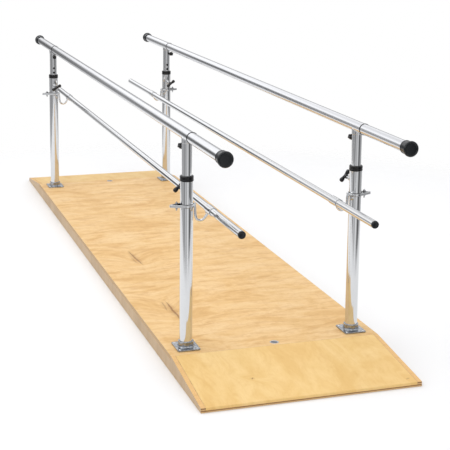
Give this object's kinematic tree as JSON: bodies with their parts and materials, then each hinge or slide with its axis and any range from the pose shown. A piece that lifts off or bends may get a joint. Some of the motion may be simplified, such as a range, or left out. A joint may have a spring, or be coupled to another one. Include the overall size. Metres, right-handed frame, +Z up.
{
  "type": "physiotherapy parallel bars",
  "caption": "Walking-training parallel bars: ramped plywood platform, telescoping posts with pinned adult handrails, and clamp-on lower child handrails inside them.",
  "frame": {"origin": "middle of the platform's underside, where it rests on the floor", "axes": "+Z up; +Y along the walking lane, towards the far end; +X to the right of somebody walking towards +Y"},
  "size_m": [0.838, 3.7381, 0.9075],
  "materials": {
    "deck_ply": "clear lacquer, satin",
    "ramp_ply": "clear lacquer, satin",
    "edge_ply": "sanded ply edge",
    "batten_pine": "sawn",
    "chrome_tube": "bright chrome plate",
    "zinc_fitting": "zinc plate",
    "black_rubber": "semi-gloss",
    "black_plastic": "moulded"
  },
  "bodies": {
    "platform_and_posts": {"deck_panel": "deck_ply", "board_socket_near": "zinc_fitting", "board_socket_far": "zinc_fitting", "side_board_left": "edge_ply", "side_board_right": "edge_ply", "ramp_near": "ramp_ply", "ramp_far": "ramp_ply", "batten_near": "batten_pine", "batten_mid": "batten_pine", "batten_far": "batten_pine", "base_flange_near_left": "zinc_fitting", "outer_tube_near_left": "chrome_tube", "post_collar_near_left": "black_plastic", "base_flange_near_right": "zinc_fitting", "outer_tube_near_right": "chrome_tube", "post_collar_near_right": "black_plastic", "base_flange_far_left": "zinc_fitting", "outer_tube_far_left": "chrome_tube", "post_collar_far_left": "black_plastic", "base_flange_far_right": "zinc_fitting", "outer_tube_far_right": "chrome_tube", "post_collar_far_right": "black_plastic"},
    "adult_rail_left": {"adult_rail_left_near": "chrome_tube", "adult_rail_left_mid": "chrome_tube", "adult_rail_left_far": "chrome_tube", "adult_cap_left_near": "black_rubber", "adult_cap_left_far": "black_rubber", "inner_tube_near_left": "chrome_tube", "inner_tube_far_left": "chrome_tube"},
    "child_rail_left": {"child_rail_left": "chrome_tube", "child_cap_left_near": "black_rubber", "child_cap_left_far": "black_rubber", "child_bracket_near_left": "chrome_tube", "child_bracket_far_left": "chrome_tube"},
    "adult_rail_right": {"adult_rail_right_near": "chrome_tube", "adult_rail_right_mid": "chrome_tube", "adult_rail_right_far": "chrome_tube", "adult_cap_right_near": "black_rubber", "adult_cap_right_far": "black_rubber", "inner_tube_near_right": "chrome_tube", "inner_tube_far_right": "chrome_tube"},
    "child_rail_right": {"child_rail_right": "chrome_tube", "child_cap_right_near": "black_rubber", "child_cap_right_far": "black_rubber", "child_bracket_near_right": "chrome_tube", "child_bracket_far_right": "chrome_tube"},
    "rail_knob_near_left": {"rail_knob_near_left": "black_plastic"},
    "lock_pin_near_left": {"lock_pin_near_left": "zinc_fitting"},
    "t_handle_near_left": {"t_handle_near_left": "black_plastic"},
    "rail_knob_near_right": {"rail_knob_near_right": "black_plastic"},
    "lock_pin_near_right": {"lock_pin_near_right": "zinc_fitting"},
    "t_handle_near_right": {"t_handle_near_right": "black_plastic"},
    "rail_knob_far_left": {"rail_knob_far_left": "black_plastic"},
    "lock_pin_far_left": {"lock_pin_far_left": "zinc_fitting"},
    "t_handle_far_left": {"t_handle_far_left": "black_plastic"},
    "rail_knob_far_right": {"rail_knob_far_right": "black_plastic"},
    "lock_pin_far_right": {"lock_pin_far_right": "zinc_fitting"},
    "t_handle_far_right": {"t_handle_far_right": "black_plastic"}
  },
  "joints": [
    {"name": "adult_height_left", "type": "slide", "parent": "platform_and_posts", "child": "adult_rail_left", "axis": [0, 0, 1], "range_m": [-0.0762, 0.1524]},
    {"name": "child_height_left", "type": "slide", "parent": "platform_and_posts", "child": "child_rail_left", "axis": [0, 0, 1], "range_m": [-0.305, 0.025]},
    {"name": "adult_height_right", "type": "slide", "parent": "platform_and_posts", "child": "adult_rail_right", "axis": [0, 0, 1], "range_m": [-0.0762, 0.1524]},
    {"name": "child_height_right", "type": "slide", "parent": "platform_and_posts", "child": "child_rail_right", "axis": [0, 0, 1], "range_m": [-0.305, 0.025]},
    {"name": "rail_knob_turn_near_left", "type": "hinge", "parent": "adult_rail_left", "child": "rail_knob_near_left", "pos_m": [-0.3387, -1.3716, 0.832], "axis": [-0.342, 0.9397, 0], "range_deg": [0, 720]},
    {"name": "lock_pin_pull_near_left", "type": "slide", "parent": "platform_and_posts", "child": "lock_pin_near_left", "axis": [0, 1, 0], "range_m": [0, 0.01], "stiffness_N_per_m": 600, "springref_m": -0.012},
    {"name": "t_handle_turn_near_left", "type": "hinge", "parent": "lock_pin_near_left", "child": "t_handle_near_left", "pos_m": [-0.3387, -1.2716, 0.6639], "axis": [0, 1, 0], "range_deg": [0, 90]},
    {"name": "rail_knob_turn_near_right", "type": "hinge", "parent": "adult_rail_right", "child": "rail_knob_near_right", "pos_m": [0.3387, -1.3716, 0.832], "axis": [-0.2079, 0.9781, 0], "range_deg": [0, 720]},
    {"name": "lock_pin_pull_near_right", "type": "slide", "parent": "platform_and_posts", "child": "lock_pin_near_right", "axis": [0, 1, 0], "range_m": [0, 0.01], "stiffness_N_per_m": 600, "springref_m": -0.012},
    {"name": "t_handle_turn_near_right", "type": "hinge", "parent": "lock_pin_near_right", "child": "t_handle_near_right", "pos_m": [0.3387, -1.2716, 0.6639], "axis": [0, 1, 0], "range_deg": [0, 90]},
    {"name": "rail_knob_turn_far_left", "type": "hinge", "parent": "adult_rail_left", "child": "rail_knob_far_left", "pos_m": [-0.3387, 1.3716, 0.832], "axis": [0.0175, -0.9998, 0], "range_deg": [0, 720]},
    {"name": "lock_pin_pull_far_left", "type": "slide", "parent": "platform_and_posts", "child": "lock_pin_far_left", "axis": [0, -1, 0], "range_m": [0, 0.01], "stiffness_N_per_m": 600, "springref_m": -0.012},
    {"name": "t_handle_turn_far_left", "type": "hinge", "parent": "lock_pin_far_left", "child": "t_handle_far_left", "pos_m": [-0.3387, 1.2716, 0.6639], "axis": [0, -1, 0], "range_deg": [0, 90]},
    {"name": "rail_knob_turn_far_right", "type": "hinge", "parent": "adult_rail_right", "child": "rail_knob_far_right", "pos_m": [0.3387, 1.3716, 0.832], "axis": [0.5299, -0.848, 0], "range_deg": [0, 720]},
    {"name": "lock_pin_pull_far_right", "type": "slide", "parent": "platform_and_posts", "child": "lock_pin_far_right", "axis": [0, -1, 0], "range_m": [0, 0.01], "stiffness_N_per_m": 600, "springref_m": -0.012},
    {"name": "t_handle_turn_far_right", "type": "hinge", "parent": "lock_pin_far_right", "child": "t_handle_far_right", "pos_m": [0.3387, 1.2716, 0.6639], "axis": [0, -1, 0], "range_deg": [0, 90]}
  ]
}
